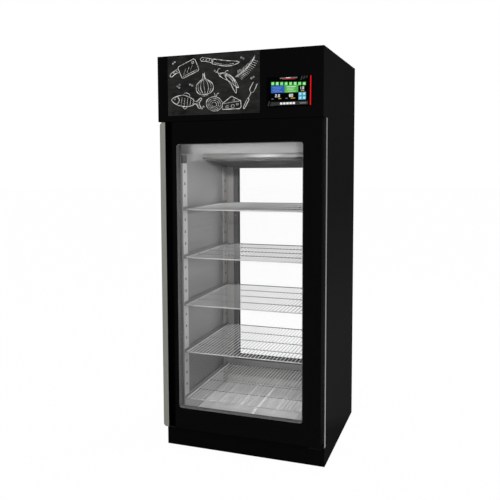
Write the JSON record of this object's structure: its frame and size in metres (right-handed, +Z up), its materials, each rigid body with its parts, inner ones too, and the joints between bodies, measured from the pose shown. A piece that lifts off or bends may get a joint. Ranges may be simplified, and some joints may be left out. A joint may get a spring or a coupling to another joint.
{
  "type": "dry aging cabinet",
  "caption": "Upright refrigerated glass-door cabinet for dry aging meat, with wire shelves on slotted uprights, a rear window and a header that holds the cooling machinery and a display.",
  "frame": {"origin": "middle of the cabinet's footprint, on the floor under its feet", "axes": "+Z up, -Y towards the front where the door is, +X towards the hinge side of the door"},
  "size_m": [0.865, 0.883, 2.08],
  "materials": {
    "black_lacquer": "satin",
    "black_plastic": "matte",
    "grey_plastic": "satin",
    "stainless": "satin",
    "steel_wire": "polished",
    "galvanised": "matte",
    "anodised_grey": "satin",
    "aluminium_fins": "matte",
    "compressor_enamel": "gloss",
    "door_black": "gloss",
    "clear_glass": "polished",
    "chalkboard": "matte",
    "screen": "gloss",
    "lamp_diffuser": "satin",
    "gasket_rubber": "matte",
    "foam": "matte"
  },
  "bodies": {
    "cabinet": {"side_panel_left": "black_lacquer", "side_panel_right": "black_lacquer", "rear_panel": "black_lacquer", "top_panel": "black_lacquer", "base_pan": "galvanised", "plinth": "black_lacquer", "levelling_foot_front_left": "black_plastic", "levelling_foot_front_right": "black_plastic", "levelling_foot_rear_left": "black_plastic", "levelling_foot_rear_right": "black_plastic", "insulation": "foam", "liner_left": "stainless", "liner_right": "stainless", "liner_floor": "stainless", "liner_ceiling": "stainless", "liner_rear": "stainless", "front_frame": "stainless", "breaker_frame": "grey_plastic", "rear_window_frame": "grey_plastic", "rear_window_glass": "clear_glass", "header_fascia": "black_lacquer", "header_board": "chalkboard", "display_screen": "screen", "controller_box": "black_plastic", "valance": "stainless", "led_strip": "lamp_diffuser", "upright_front_left": "stainless", "upright_front_right": "stainless", "upright_rear_left": "stainless", "upright_rear_right": "stainless", "wire_shelf_1": "steel_wire", "wire_shelf_2": "steel_wire", "wire_shelf_3": "steel_wire", "wire_shelf_4": "steel_wire", "wire_shelf_5": "steel_wire", "shelf_rail_left_1": "stainless", "shelf_rail_left_2": "stainless", "shelf_rail_left_3": "stainless", "shelf_rail_left_4": "stainless", "shelf_rail_left_5": "stainless", "shelf_rail_right_1": "stainless", "shelf_rail_right_2": "stainless", "shelf_rail_right_3": "stainless", "shelf_rail_right_4": "stainless", "shelf_rail_right_5": "stainless", "evaporator_cover": "stainless", "evaporator_coil": "aluminium_fins", "machine_deck": "galvanised", "compressor": "compressor_enamel", "condenser_coil": "aluminium_fins", "fan_shroud": "black_plastic", "hinge_bracket_bottom": "stainless", "hinge_bracket_top": "stainless"},
    "front_door": {"door_frame": "door_black", "door_pane_outer": "clear_glass", "door_pane_inner": "clear_glass", "door_handle": "anodised_grey", "door_gasket": "gasket_rubber"},
    "evaporator_rotor": {"evaporator_fan": "black_plastic"},
    "condenser_rotor": {"condenser_fan": "black_plastic"}
  },
  "joints": [
    {"name": "front_door_hinge", "type": "hinge", "parent": "cabinet", "child": "front_door", "pos_m": [0.4, -0.417, 0.935], "axis": [0, 0, 1], "range_deg": [0, 110]},
    {"name": "evaporator_fan_spin", "type": "hinge", "parent": "cabinet", "child": "evaporator_rotor", "pos_m": [0, 0.1735, 1.577], "axis": [0, 0, 1], "continuous": true},
    {"name": "condenser_fan_spin", "type": "hinge", "parent": "cabinet", "child": "condenser_rotor", "pos_m": [0.15, 0.2432, 1.8842], "axis": [0, 1, 0], "continuous": true}
  ]
}
